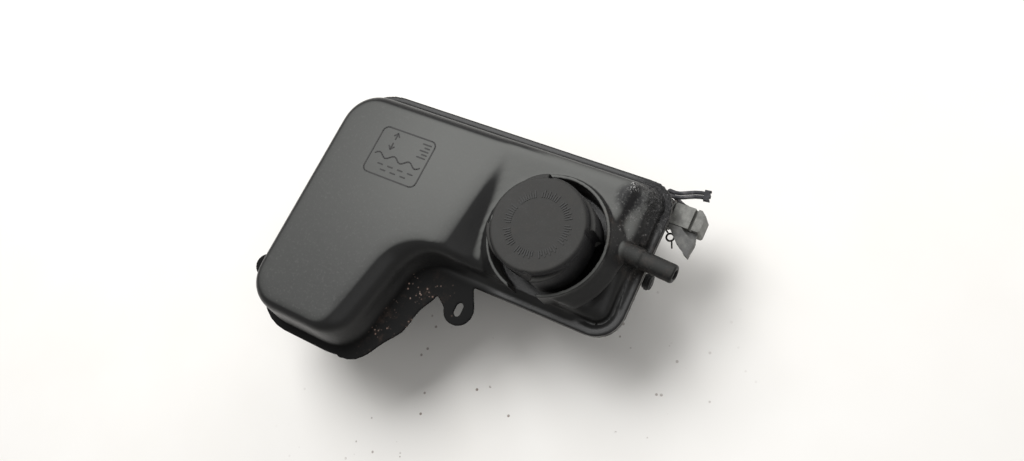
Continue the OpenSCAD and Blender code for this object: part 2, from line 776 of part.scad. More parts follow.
// Level float on its post
float_bore = post_r + 2 * fit_gap;
float_edge = 1;
magnet_r = post_r + 3;
magnet_h = 5;
clip_t = 1;
clip_drop = 2.5;
module level_float() {
    color(natural) translate([post_x, post_y, float_rest_h]) difference() {
        union() {
            translate([0, 0, float_edge]) cylinder(r = float_r, h = float_h - 2 * float_edge);
            cylinder(r1 = float_r - float_edge, r2 = float_r, h = float_edge);
            translate([0, 0, float_h - float_edge])
                cylinder(r1 = float_r, r2 = float_r - float_edge, h = float_edge);
        }
        translate([0, 0, -eps]) cylinder(r = float_bore, h = float_h + 2 * eps);
        translate([0, 0, float_h - magnet_h]) cylinder(r = magnet_r, h = magnet_h + eps);
    }
}
module float_magnet() {
    color(grey) translate([post_x, post_y, float_rest_h + float_h - magnet_h])
        tube(magnet_r, float_bore, magnet_h - 0.5);
}
module float_clip() {
    color(steel) translate([post_x, post_y, post_top_h - clip_drop]) difference() {
        cylinder(r = post_r + 3, h = clip_t);
        translate([0, 0, -eps]) cylinder(r = post_r, h = clip_t + 2 * eps);
        for (a = [0 : 90 : 270]) rotate([0, 0, a])
            translate([post_r + 0.4, -0.6, -eps]) cube([1.6, 1.2, clip_t + 2 * eps]);
    }
}

// Level sensor: probe in the pocket, head with a snap arm, pins
clip_d = 1.2;
probe_r = pocket_r - 0.2;
ring_depth = 1.2;
ring_w = 2.4;
head_x = socket_x + 0.1;
head_t = 3;
head_r = 9.2;
spigot_l = 8;
spigot_w = 9;
spigot_t = 7;
spigot_wall = 1.2;
arm_t = 6.5;
arm_h = sensor_h + 1.5;
web_t = 1.6;
plug_x = head_x + head_t + 1.2;
plug_front_y = sensor_y - plug_w / 2;
arm_root = [
    [head_x + 0.2, plug_front_y + 2], [head_x + head_t, plug_front_y + 2],
    [plug_x - 0.5, plug_front_y - part_gap]
];
function from_plug(shifts) = [for (s = shifts) [plug_x + s.x, plug_front_y + s.y]];
arm_inside = from_plug([[8.6, -part_gap], [11, -2.2], [16, -4.9], [19.4, -5.7]]);
arm_outside = from_plug([
    [19.6, -8], [18.9, -12.6], [18.7, -16.5], [15.5, -15], [13.8, -13.3], [8.7, -9.9], [4.5, -5.6],
    [1.9, -2.9], [-0.6, -1.2], [-4, -0.5]
]);
module sensor_body() {
    probe_x = wall_x - pocket_l + pocket_wall + 1;
    color(soft_black) {
        difference() {
            along_x(probe_x, sensor_y, sensor_h) cylinder(r = probe_r, h = head_x + 1 - probe_x);
            along_x(wall_x - 9, sensor_y, sensor_h) tube(probe_r + eps, probe_r - ring_depth, ring_w);
        }
        along_x(head_x, sensor_y, sensor_h) difference() {
            cylinder(r = head_r, h = head_t);
            translate([0, 0, (head_t - clip_d) / 2]) tube(head_r + eps, head_r - clip_d / 2, clip_d);
        }
        translate([head_x + 1, sensor_y - spigot_w / 2, sensor_h - spigot_t / 2]) difference() {
            cube([head_t + spigot_l, spigot_w, spigot_t]);
            translate([head_t + 1, spigot_wall, spigot_wall])
                cube([spigot_l + 1, spigot_w - 2 * spigot_wall, spigot_t - 2 * spigot_wall]);
        }
        translate([0, 0, arm_h]) linear_extrude(arm_t) polygon(concat(arm_root, arm_inside, arm_outside));
        translate([0, 0, arm_h]) linear_extrude(web_t)
            polygon(concat(arm_root, from_plug([[18, -part_gap]]), arm_outside));
    }
}
module sensor_seal() {
    ring_r = (pocket_r - probe_r + ring_depth) / 2;
    color(seal_red) along_x(wall_x - 9 + ring_w / 2, sensor_y, sensor_h)
        rotate_extrude() translate([probe_r - ring_depth + ring_r, 0]) circle(r = ring_r, $fn = 24);
}
pin_w = 0.8;
pin_gap = 1.8;
module sensor_pins() {
    color(brass) for (side = [-1, 1])
        translate([head_x + 2, sensor_y + side * pin_gap - pin_w / 2, sensor_h - pin_w / 2])
            cube([head_t + spigot_l - 2, pin_w, pin_w]);
}

// Wire clip in the groove of the sensor's head, with a leg, an eye and a tail in front
eye_r = 2.4;
leg_d = clip_d - 0.2;
leg_h = sensor_h - 0.6;
clip_x = head_x + head_t / 2;
eye_place = [57.4, 35.1, leg_h];
tail = [3.8, -6.3, 0];
module rod(from, to, d) {
    way = to - from;
    translate(from) rotate([0, acos(way.z / norm(way)), atan2(way.y, way.x)])
        cylinder(r = d / 2, h = norm(way), $fn = 16);
}
module retaining_clip() {
    color(steel) {
        along_x(clip_x, sensor_y, sensor_h) rotate_extrude()
            translate([head_r, 0]) circle(r = clip_d / 2, $fn = 16);
        rod([clip_x, sensor_y - head_r, leg_h], eye_place + eye_r * unit([-1, 1, 0]), leg_d);
        translate(eye_place) rotate_extrude() translate([eye_r, 0]) circle(r = clip_d / 2, $fn = 16);
        rod(eye_place + eye_r * unit([1, -1, 0]), eye_place + tail, leg_d);
    }
}

// Plug on the sensor, with its seal and the two leads
plug_base = sensor_h - plug_t / 2;
plug_back_y = sensor_y + plug_w / 2;
plug_corner = [3.2, 2.6];
step_x = plug_end_x - 7.2;
plug_outline = [
    [plug_x, plug_front_y], [plug_end_x - 1, plug_front_y], [plug_end_x, plug_front_y + 1],
    [plug_end_x, plug_back_y - plug_corner.y], [plug_end_x - plug_corner.x, plug_back_y],
    [plug_x + 1, plug_back_y], [plug_x, plug_back_y - 1]
];
module plug_housing() {
    spigot_room = [spigot_w + 2 * part_gap, spigot_t + 2 * part_gap];
    color(grey) difference() {
        translate([0, 0, plug_base]) linear_extrude(plug_t) polygon(plug_outline);
        translate([plug_x - eps, sensor_y - spigot_room.x / 2, sensor_h - spigot_room.y / 2])
            cube([spigot_l + 3.6, spigot_room.x, spigot_room.y]);
        translate([step_x, plug_front_y - eps, sensor_h + plug_t / 2 - 3])
            cube([2, plug_w + 2 * eps, 3 + eps]);
    }
}
seal_grip = 0.1;
seal_w = 1.5;
module plug_seal() {
    outer = [spigot_w + 2 * (part_gap - fit_gap), spigot_t + 2 * (part_gap - fit_gap)];
    inner = [spigot_w + 2 * seal_grip, spigot_t + 2 * seal_grip];
    color(seal_red) translate([plug_x + 1, sensor_y, sensor_h]) rotate([90, 0, 90]) linear_extrude(seal_w)
        difference() {
            square(outer, center = true);
            square(inner, center = true);
        }
}
lead_a_points = [
    [61, plug_back_y, 47.4], [60.8, 56.6, 47.4], [59.4, 57.4, 47.4], [57.2, 57.7, 47.4],
    [54.8, 58.6, 47.3],
    [52.4, 59.8, 47.1], [49.6, 60.8, 47.1], [47.3, 61.9, 47.9], [45.8, 62.2, 49.6], [45.4, 62.4, 51.8],
    [46.5, 62.2, 53.9], [48.6, 61.6, 55.4], [51, 61.3, 56.1], [53.5, 61.7, 56.1], [56, 62.9, 55.8],
    [58.7, 64.2, 55.5], [62, 65.7, 55.2], [65.6, 66.8, 55], [70.4, 67.6, 54.6]
];
lead_b_points = [
    [57.4, plug_back_y, 44.5], [57.2, 56.5, 44.5], [56.2, 57.2, 44.5], [54.4, 57.9, 44.4],
    [52, 58.5, 44.3],
    [49.2, 58.6, 44.6], [46.9, 59, 45.9], [45.4, 59.6, 48.2], [44.9, 59.7, 50.9], [46, 59.3, 53.4],
    [48.2, 58.8, 55.2], [51.2, 58.5, 56.1], [54.3, 59.1, 56], [57.1, 60.3, 55.8], [59.9, 61.7, 55.5],
    [63, 63.1, 55.2], [66.3, 64.1, 55], [70.9, 64.9, 54.6]
];
lead_sides = 8;
function lead_way(points, k) =
    unit(points[min(k + 1, len(points) - 1)] - points[max(k - 1, 0)]);
function lead_ring(points, k) =
    let (
        way = k == 0 ? [0, 1, 0] : lead_way(points, k),
        side = unit(cross(way, [0.3, 0.1, 1])),
        up = cross(side, way)
    )
    [for (s = [0 : lead_sides - 1])
        let (a = 360 * s / lead_sides)
        points[k] + lead_d / 2 * (side * cos(a) + up * sin(a))];
module lead(points) {
    color(lead_black) polyhedron(
        points = [for (k = [0 : len(points) - 1]) each lead_ring(points, k)],
        faces = concat(
            [[for (s = [lead_sides - 1 : -1 : 0]) s]],
            [for (k = [0 : len(points) - 2]) for (s = [0 : lead_sides - 1])
                let (a = k * lead_sides + s, b = k * lead_sides + (s + 1) % lead_sides)
                each [[a, b, b + lead_sides], [a, b + lead_sides, a + lead_sides]]],
            [[for (s = [0 : lead_sides - 1]) (len(points) - 1) * lead_sides + s]]
        ),
        convexity = 4
    );
}
module sensor_lead_a() {
    lead(lead_a_points);
}
module sensor_lead_b() {
    lead(lead_b_points);
}
// Flat wrap round the ends of both leads, torn off at a slant
wrap_l = 4;
wrap_wall = 0.5;
wrap_room = 0.1;
module lead_sleeve() {
    end_a = lead_a_points[len(lead_a_points) - 1];
    end_b = lead_b_points[len(lead_b_points) - 1];
    inner = [norm(end_a - end_b) + lead_d + 2 * wrap_room, lead_d + 2 * wrap_room];
    way = unit(end_a - lead_a_points[len(lead_a_points) - 2]);
    turn = [0, -asin(way.z), atan2(way.y, way.x)];
    color(lead_black) translate((end_a + end_b) / 2) rotate(turn) difference() {
        translate([1 - wrap_l, 0, 0]) rotate([90, 0, 90]) linear_extrude(wrap_l) difference() {
            square(inner + 2 * [wrap_wall, wrap_wall], center = true);
            square(inner, center = true);
        }
        for (side = [-1, 1]) translate([1, side * 2, 0]) rotate([0, 0, side * 35])
            cube([2, 1.6, lead_d + 4], center = true);
    }
}
module peg_grommet() {
    color(soft_black) along_x(wall_x + 2, nipple_y - 7, peg_h) difference() {
        union() {
            cylinder(r = peg_r + 1.6, h = peg_l - 2.5);
            translate([0, 0, 1.5]) cylinder(r = peg_r + 2.4, h = 1.5);
        }
        translate([0, 0, -eps]) cylinder(r = peg_r + fit_gap, h = peg_l);
    }
}

upper_shell();
lower_shell();
cap_cover();
valve_housing();
neck_gasket();
valve_o_ring();
spring_stop();
pressure_spring();
pressure_plate();
pressure_gasket();
vacuum_valve();
vacuum_spring();
level_float();
float_magnet();
float_clip();
sensor_body();
sensor_seal();
sensor_pins();
retaining_clip();
plug_housing();
plug_seal();
sensor_lead_a();
sensor_lead_b();
lead_sleeve();
peg_grommet();
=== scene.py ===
"""Looks of the coolant expansion tank: finishes, worn dirt, leads, camera and light."""

import math

import bpy
import numpy as np
from mathutils import Matrix, Vector, noise


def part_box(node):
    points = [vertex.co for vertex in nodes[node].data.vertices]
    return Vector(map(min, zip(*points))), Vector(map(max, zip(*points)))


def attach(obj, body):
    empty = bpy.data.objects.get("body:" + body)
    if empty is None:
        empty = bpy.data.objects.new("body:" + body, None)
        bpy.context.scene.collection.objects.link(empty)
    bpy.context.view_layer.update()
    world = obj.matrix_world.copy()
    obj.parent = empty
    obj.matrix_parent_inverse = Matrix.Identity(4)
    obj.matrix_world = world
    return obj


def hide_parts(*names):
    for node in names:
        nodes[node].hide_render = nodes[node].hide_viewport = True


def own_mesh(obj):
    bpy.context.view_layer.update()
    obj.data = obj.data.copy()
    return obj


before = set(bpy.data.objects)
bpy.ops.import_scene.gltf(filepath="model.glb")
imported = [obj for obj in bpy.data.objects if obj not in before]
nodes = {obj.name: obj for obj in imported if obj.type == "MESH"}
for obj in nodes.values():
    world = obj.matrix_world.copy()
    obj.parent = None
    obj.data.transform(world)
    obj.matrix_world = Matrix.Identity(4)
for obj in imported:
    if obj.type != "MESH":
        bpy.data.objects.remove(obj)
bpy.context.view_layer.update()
MM = 0.001

# Places on the part, in metres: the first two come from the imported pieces
JOINT_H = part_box("lower_shell")[1].z
CAP_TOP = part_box("cap_cover")[1].z
WELL_R = 36.3 * MM
NIPPLE_Y = 10 * MM
NOTCH_X = -2 * MM
SPOUT_Y, SPOUT_Z = -40 * MM, 21 * MM
LOBE_BACK_Y, LOBE_BACK_H = 48 * MM, 90 * MM
LOBE_TILT = math.radians(3)

# Camera: fitted to the photograph
IMAGE_W = 1024
FOCAL_PX = 883
SENSOR_MM = 36
CLIP_START = 0.01
CAMERA_PLACE = Vector((0.1978, -0.0977, 0.5681))
CAMERA_RIGHT = Vector((0.850, 0.427, -0.309)).normalized()
CAMERA_UP = Vector((-0.328, 0.887, 0.324))


def linked(name, data):
    """A new object in the scene."""
    thing = bpy.data.objects.new(name, data)
    bpy.context.scene.collection.objects.link(thing)
    return thing


def add_camera():
    back = CAMERA_RIGHT.cross(CAMERA_UP).normalized()
    up = back.cross(CAMERA_RIGHT)
    data = bpy.data.cameras.new("camera")
    data.sensor_width = SENSOR_MM
    data.lens = FOCAL_PX / IMAGE_W * SENSOR_MM
    data.clip_start = CLIP_START
    camera = linked("camera", data)
    turn = Matrix((CAMERA_RIGHT, up, back)).transposed().to_4x4()
    camera.matrix_world = Matrix.Translation(CAMERA_PLACE) @ turn
    bpy.context.scene.camera = camera


# Sockets of the mix node, which has one set for each kind of data
MIX_SHARE, MIX_VALUE_A, MIX_VALUE_B, MIX_COLOUR_A, MIX_COLOUR_B = 0, 2, 3, 6, 7
MIX_VALUE_OUT, MIX_COLOUR_OUT = 0, 2


class Shader:
    """A material with a few helpers that add and join its nodes."""

    def __init__(self, name, base, roughness=0.5, specular=0.5, metallic=0.0):
        self.material = bpy.data.materials.new(name)
        self.material.use_nodes = True
        self.tree = self.material.node_tree
        self.surface = self.tree.nodes["Principled BSDF"]
        self.surface.inputs["Roughness"].default_value = roughness
        self.surface.inputs["Specular IOR Level"].default_value = specular
        self.surface.inputs["Metallic"].default_value = metallic
        self.place = self.add("ShaderNodeTexCoord").outputs["Object"]
        self.colour = base
        self.last_bump = None

    def add(self, kind, **inputs):
        node = self.tree.nodes.new(kind)
        for name, value in inputs.items():
            self.feed(node.inputs[name], value)
        return node

    def feed(self, socket, value):
        """Joins an output to the socket, or sets the socket to a number."""
        if isinstance(value, bpy.types.NodeSocket):
            self.tree.links.new(value, socket)
        else:
            socket.default_value = value

    def noise(self, size_mm, detail=3.0, roughness=0.6, stretch=None):
        """Noise from 0 to 1 with cells of about size_mm."""
        place = self.place
        if stretch is not None:
            place = self.add("ShaderNodeMapping", Vector=place, Scale=stretch).outputs["Vector"]
        node = self.add("ShaderNodeTexNoise", Vector=place, Scale=1 / (size_mm * MM), Detail=detail,
                        Roughness=roughness)
        return node.outputs["Fac"]

    def specks(self, spacing_mm, edge, core):
        """1 in the core of grains that lie about spacing_mm apart, falling to 0 at their edge."""
        node = self.add("ShaderNodeTexVoronoi", Vector=self.place, Scale=1 / (spacing_mm * MM))
        return self.band(node.outputs["Distance"], edge, core)

    def math(self, operation, a, b):
        node = self.tree.nodes.new("ShaderNodeMath")
        node.operation = operation
        self.feed(node.inputs[0], a)
        self.feed(node.inputs[1], b)
        return node.outputs[0]

    def band(self, value, low, high):
        """0 below low, 1 above high, smooth between them; falls instead where low is above high."""
        node = self.add("ShaderNodeMapRange", Value=value)
        node.interpolation_type = "SMOOTHSTEP"
        falls = low > high
        node.inputs["From Min"].default_value = min(low, high)
        node.inputs["From Max"].default_value = max(low, high)
        node.inputs["To Min"].default_value = 1.0 if falls else 0.0
        node.inputs["To Max"].default_value = 0.0 if falls else 1.0
        return node.outputs["Result"]

    def times(self, *values):
        result = values[0]
        for value in values[1:]:
            result = self.math("MULTIPLY", result, value)
        return result

    def blend(self, share, a, b):
        """Colour a where share is 0 and b where it is 1."""
        node = self.tree.nodes.new("ShaderNodeMix")
        node.data_type = "RGBA"
        self.feed(node.inputs[MIX_SHARE], share)
        for index, colour in ((MIX_COLOUR_A, a), (MIX_COLOUR_B, b)):
            joined = isinstance(colour, bpy.types.NodeSocket)
            self.feed(node.inputs[index], colour if joined else (*colour, 1))
        return node.outputs[MIX_COLOUR_OUT]

    def paint(self, colour, *shares):
        """Lays a colour over what is there, by the product of its shares."""
        self.colour = self.blend(self.times(*shares), self.colour, colour)

    def mix_value(self, share, a, b):
        """Number a where share is 0 and b where it is 1."""
        node = self.tree.nodes.new("ShaderNodeMix")
        self.feed(node.inputs[MIX_SHARE], share)
        self.feed(node.inputs[MIX_VALUE_A], a)
        self.feed(node.inputs[MIX_VALUE_B], b)
        return node.outputs[MIX_VALUE_OUT]

    def bump(self, height, depth_mm):
        node = self.add("ShaderNodeBump", Height=height, Distance=depth_mm * MM, Strength=1.0)
        if self.last_bump is not None:
            self.tree.links.new(self.last_bump, node.inputs["Normal"])
        self.last_bump = node.outputs["Normal"]

    def axes(self):
        node = self.add("ShaderNodeSeparateXYZ", Vector=self.place)
        return node.outputs["X"], node.outputs["Y"], node.outputs["Z"]

    def facing_up(self):
        """How far the surface faces up, from -1 to 1."""
        normal = self.add("ShaderNodeNewGeometry").outputs["Normal"]
        return self.add("ShaderNodeSeparateXYZ", Vector=normal).outputs["Z"]

    def near(self, ball, softness):
        """1 inside a ball, given by centre and radius, falling to 0 at its edge."""
        centre, radius = ball
        offset = self.tree.nodes.new("ShaderNodeVectorMath")
        offset.operation = "DISTANCE"
        self.feed(offset.inputs[0], self.place)
        offset.inputs[1].default_value = centre
        return self.band(offset.outputs["Value"], radius, radius * (1 - softness))

    def finish(self, roughness=None):
        self.feed(self.surface.inputs["Base Color"], self.colour)
        if roughness is not None:
            self.feed(self.surface.inputs["Roughness"], roughness)
        if self.last_bump is not None:
            self.tree.links.new(self.last_bump, self.surface.inputs["Normal"])
        return self.material


# Where the dirt, the painted shade and the painted highlights lie: centre and radius, in metres
WELL_WALLS = (0, 0, 0.083), 0.0385
WELL_SIDE = (0.03, 0.012, 0.088), 0.03
INNER_BEND = (-0.078, -0.075, 0.072), 0.045
BACK_CORNER = (0.045, 0.048, 0.072), 0.027
RIGHT_FLANGE = (0.044, 0.028, 0.076), 0.03
SHELF_SLOPE = (0.036, 0.04, 0.087), 0.011
SLOPE_BACK = (0.036, 0.047, 0.088), 0.005
NIPPLE = (0.06, 0.0095, 0.078), 0.021
FLOOR_IN_BAY = (0.0, -0.12, 0), 0.2

# Colours of the housing, of what lies on it, and of the painted sheen, shade and highlights on it
FRESH_BLACK = (0.0125, 0.0125, 0.0125)
BLOOM_AND_SHEEN = (0.044, 0.045, 0.043)
PALE_SHEEN = (0.135, 0.137, 0.13)
MOTTLING = (0.12, 0.12, 0.115)
GREY_DUST = (0.06, 0.058, 0.055)
BROWN_DUST = (0.085, 0.06, 0.045)
DARK_BROWN_DUST = (0.05, 0.036, 0.03)
PALE_GRAIN = (0.34, 0.3, 0.27)
RED_GRAIN = (0.2, 0.09, 0.06)
WET_CRUST = (0.008, 0.008, 0.009)
PAINTED_GLINTS = (0.4, 0.39, 0.4)
DRIED_SCALE = (0.28, 0.27, 0.265)
SLOPE_SHADE = (0.006, 0.006, 0.007)
PAINTED_CORNER_GLINT = (0.6, 0.59, 0.58)
NIPPLE_SOOT = (0.011, 0.011, 0.011)
NIPPLE_DUST = (0.05, 0.042, 0.038)
NIPPLE_CRUST = (0.16, 0.15, 0.14)
RIM_HIGHLIGHT = (0.17, 0.165, 0.158)
SHELL_SPECULAR, DIRTY_SPECULAR = 0.27, 0.03


def shell_plastic():
    """Black moulded plastic: a dull grey bloom on the flat tops, partly painted sheen, dust, crusts,
    painted shade and painted highlights.
    """
    s = Shader("shell_plastic", FRESH_BLACK, specular=SHELL_SPECULAR)
    x, y, z = s.axes()
    up = s.facing_up()
    patches = s.noise(38, detail=4, roughness=0.55)
    fine = s.noise(1.6, detail=4, roughness=0.65)
    dust = s.noise(7, detail=5, roughness=0.7)
    crust = s.noise(1.1, detail=5, roughness=0.75)

    # Bloom, partly painted sheen: near the dip only what is nearly level has it, and further right the
    # slopes have it too
    high = s.band(z, JOINT_H + 9 * MM, JOINT_H + 15 * MM)
    level = s.mix_value(s.band(x, -0.04, -0.015), s.band(up, 0.92, 0.992), s.band(up, 0.62, 0.99))
    top = s.times(level, high)
    bloom_and_sheen = s.times(top, s.mix_value(patches, 0.7, 1.15))
    s.paint(BLOOM_AND_SHEEN, bloom_and_sheen)
    # Painted sheen: it grows paler towards the back, and on the lobe towards the cap
    backward = s.mix_value(s.band(y, -0.1, 0.03), 0.0, 0.6)
    inward = s.mix_value(s.band(x, -0.185, -0.085), 0.25, 1.0)
    s.paint(PALE_SHEEN, top, backward, inward)
    s.paint(MOTTLING, s.band(fine, 0.52, 0.72), top, 0.25)

    # Grey dust on the walls of the cap's well, and brown dust beside it and along the bend
    s.paint(GREY_DUST, s.near(WELL_WALLS, 0.03), s.band(up, 0.7, 0.3), s.band(patches, 0.3, 0.6), 0.8)
    s.paint(BROWN_DUST, s.near(WELL_SIDE, 0.8), s.band(dust, 0.5, 0.75), 0.4)
    bend = s.near(INNER_BEND, 0.6)
    side = s.band(z, JOINT_H + 9 * MM, JOINT_H + 4 * MM)
    s.paint(DARK_BROWN_DUST, bend, side, s.band(dust, 0.5, 0.72), 0.5)
    grains = s.specks(2.2, 0.36, 0.14)
    rare = s.band(s.noise(9, detail=4, roughness=0.75), 0.5, 0.64)
    s.paint(s.blend(s.noise(3), PALE_GRAIN, RED_GRAIN), bend, side, grains, rare, 0.9)

    # Wet black crust at the back right corner with painted glints on it, and pale dried scale on the
    # flange below it
    corner = s.near(BACK_CORNER, 0.7)
    s.paint(WET_CRUST, corner, s.band(crust, 0.42, 0.6), 0.85)
    s.paint(PAINTED_GLINTS, corner, s.band(crust, 0.58, 0.68), 0.5)
    scale = s.band(s.noise(2.4, detail=5, roughness=0.8), 0.56, 0.66)
    s.paint(DRIED_SCALE, s.near(RIGHT_FLANGE, 0.6), scale, 0.5)

    # Painted shade in patches on the slope down to the shelf, with a painted glint at its back corner
    shade_patches = s.band(s.noise(2.0, detail=5, roughness=0.7), 0.36, 0.5)
    s.paint(SLOPE_SHADE, s.near(SHELF_SLOPE, 0.5), shade_patches, 0.9)
    s.paint(PAINTED_CORNER_GLINT, s.near(SLOPE_BACK, 0.6), s.band(crust, 0.55, 0.62))

    # Grime on the nipple
    nipple = s.near(NIPPLE, 0.25)
    s.paint(NIPPLE_SOOT, nipple, 0.75)
    s.paint(NIPPLE_DUST, nipple, s.band(dust, 0.45, 0.65), 0.5)
    s.paint(NIPPLE_CRUST, nipple, s.band(crust, 0.6, 0.7), 0.6)

    # Painted highlight: the rim's upright outer edge is painted pale grey at the right end and in front
    above_seam = s.band(z, JOINT_H - 3.5 * MM, JOINT_H - 2 * MM)
    below_top = s.band(z, JOINT_H + 3.2 * MM, JOINT_H + 2.4 * MM)
    in_front = s.times(s.band(x, -0.03, -0.01), s.band(y, -0.036, -0.041))
    rim_highlight_share = s.math("MAXIMUM", s.band(x, 0.05, 0.055), in_front)
    s.paint(RIM_HIGHLIGHT, above_seam, below_top, s.band(up, 0.6, 0.25), rim_highlight_share, 0.8)

    # The flange and the ear in front, and the nipple, are too dirty to shine
    bay = s.times(side, s.band(x, -0.02, -0.035), s.band(y, -0.036, -0.044))
    dirty = s.math("MAXIMUM", bay, s.times(nipple, 0.6))
    s.feed(s.surface.inputs["Specular IOR Level"], s.mix_value(dirty, SHELL_SPECULAR, DIRTY_SPECULAR))
    rough = s.mix_value(bloom_and_sheen, 0.38, 0.6)
    rough = s.mix_value(bay, rough, 0.8)
    rough = s.mix_value(corner, rough, 0.25)
    s.bump(s.noise(0.55, detail=2, roughness=0.5), 0.035)
    s.bump(s.noise(11, detail=2), 0.25)
    s.bump(s.times(corner, crust), 0.6)
    return s.finish(rough)


def cap_plastic():
    """Black cap, lighter where it faces up, with brown dust in its hollows."""
    s = Shader("cap_plastic", (0.011, 0.011, 0.012), specular=0.2)
    patches = s.noise(14, detail=5, roughness=0.6)
    fine = s.noise(0.9, detail=4, roughness=0.7)
    s.paint((0.028, 0.0275, 0.026), s.band(s.facing_up(), 0.5, 0.97))
    s.paint((0.052, 0.048, 0.043), s.band(patches, 0.5, 0.75), 0.35)
    s.paint((0.075, 0.07, 0.065), s.band(fine, 0.55, 0.72), 0.3)
    s.bump(s.noise(0.5, detail=2), 0.03)
    s.bump(patches, 0.12)
    return s.finish(s.mix_value(patches, 0.5, 0.68))


def dusty_plastic(name, dark, pale):
    """Dull plastic in two shades, with fine pale dust on it."""
    s = Shader(name, dark, specular=0.4)
    patches = s.noise(6, detail=5, roughness=0.65)
    fine = s.noise(0.8, detail=4, roughness=0.7)
    s.paint(pale, s.band(patches, 0.35, 0.68))
    s.paint([min(1, 1.8 * c) for c in pale], s.band(fine, 0.56, 0.72), 0.35)
    s.bump(s.noise(0.4, detail=2), 0.03)
    return s.finish(s.mix_value(patches, 0.47, 0.65))


def rubber(name, dark, pale):
    s = Shader(name, dark, specular=0.3)
    fine = s.noise(0.7, detail=4, roughness=0.7)
    s.paint(pale, s.band(s.noise(5, detail=4), 0.4, 0.7))
    s.bump(fine, 0.04)
    return s.finish(s.mix_value(fine, 0.58, 0.82))


def metal(name, clean, tarnish, roughness=0.35):
    s = Shader(name, clean, metallic=1.0)
    scratches = s.noise(0.8, detail=3, stretch=(1, 1, 6))
    s.paint(tarnish, s.band(s.noise(4, detail=4), 0.45, 0.7))
    s.bump(scratches, 0.01)
    return s.finish(s.mix_value(scratches, roughness - 0.1, roughness + 0.15))


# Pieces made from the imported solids
WELD_REACH = 1e-6


def copy_of(node, name):
    """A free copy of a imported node's mesh, which stands for it."""
    mesh = nodes[node].data.copy()
    mesh.materials.clear()
    return linked(name, mesh)


def apply_modifiers(piece):
    bpy.context.view_layer.update()
    shape = piece.evaluated_get(bpy.context.evaluated_depsgraph_get())
    mesh = bpy.data.meshes.new_from_object(shape)
    piece.modifiers.clear()
    piece.data = mesh


def remeshed(piece, voxel_mm):
    weld = piece.modifiers.new("weld", "WELD")
    weld.merge_threshold = WELD_REACH
    remesh = piece.modifiers.new("remesh", "REMESH")
    remesh.mode = "VOXEL"
    remesh.voxel_size = voxel_mm * MM
    apply_modifiers(piece)


def triples(mesh, what):
    """The places or the normals of a mesh's vertices, one in each row."""
    values = np.empty(len(mesh.vertices) * 3, np.float64)
    mesh.vertices.foreach_get(what, values)
    return values.reshape(-1, 3)


def set_places(mesh, places):
    mesh.vertices.foreach_set("co", places.ravel())
    mesh.update()


def smoothed(piece, strength, rounds):
    """Smooths each vertex by its strength, so edges that should stay sharp can."""
    mesh = piece.data
    places = triples(mesh, "co")
    many = len(places)
    edges = np.empty(len(mesh.edges) * 2, np.int64)
    mesh.edges.foreach_get("vertices", edges)
    a, b = edges.reshape(-1, 2).T
    count = np.bincount(a, minlength=many) + np.bincount(b, minlength=many)
    count = np.maximum(count, 1)[:, None]
    pull = 0.5 * strength[:, None]
    for _ in range(rounds):
        total = np.zeros_like(places)
        for axis in range(3):
            total[:, axis] = (np.bincount(a, weights=places[b, axis], minlength=many)
                              + np.bincount(b, weights=places[a, axis], minlength=many))
        places += pull * (total / count - places)
    set_places(mesh, places)


def thinned(piece, triangles):
    now = sum(len(p.vertices) - 2 for p in piece.data.polygons)
    if now > triangles:
        decimate = piece.modifiers.new("thin", "DECIMATE")
        decimate.ratio = triangles / now
        apply_modifiers(piece)


def softened(piece, broad, rounds, triangles):
    """Smooths a piece a little, and its broad faces for many rounds more."""
    smoothed(piece, 0.35 + 0.65 * broad, 3)
    smoothed(piece, broad, rounds)
    thinned(piece, triangles)


def dressed(piece, material, body, stands_for):
    piece.data.materials.clear()
    piece.data.materials.append(material)
    piece.data.shade_smooth()
    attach(piece, body)
    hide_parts(*stands_for)


def rise(value, low, high):
    """Smooth step from 0 at low to 1 at high, for arrays."""
    t = np.clip((value - low) / (high - low), 0, 1)
    return t * t * (3 - 2 * t)


def roughened(piece, centre, radius, depth):
    """Pushes out lumps of dirt about a place."""
    lump_size, fractal_gain, fractal_step, octaves = 2.2 * MM, 0.8, 2.0, 4
    mesh = piece.data
    places = triples(mesh, "co")
    normals = triples(mesh, "normal")
    share = 1 - rise(np.linalg.norm(places - np.array(centre), axis=1), radius * 0.5, radius)
    for k in np.flatnonzero(share > 0):
        lump = noise.fractal(Vector(places[k]) / lump_size, fractal_gain, fractal_step, octaves)
        places[k] += normals[k] * share[k] * depth * max(0.0, lump + 0.1)
    set_places(mesh, places)


def add_upper_shell(material):
    piece = copy_of("upper_shell", "upper_shell_skin")
    remeshed(piece, 0.8)
    x, y, z = triples(piece.data, "co").T
    above_rim = rise(z, JOINT_H + 4 * MM, JOINT_H + 7 * MM)
    off_well = rise(np.hypot(x, y), WELL_R + 4 * MM, WELL_R + 6 * MM)
    beside_nipple = rise(np.abs(y - NIPPLE_Y), 9 * MM, 12 * MM)
    off_nipple = 1 - rise(x, 34 * MM, 38 * MM) * (1 - beside_nipple)
    beside_notch = rise(np.abs(x - NOTCH_X), 18 * MM, 24 * MM)
    off_notch = 1 - (1 - beside_notch) * (1 - rise(y, -24 * MM, -18 * MM))
    softened(piece, above_rim * off_well * off_nipple * off_notch, 28, 190000)
    roughened(piece, (45 * MM, 48 * MM, JOINT_H + 4 * MM), 20 * MM, 0.9 * MM)
    dressed(piece, material, "tank", ["upper_shell"])


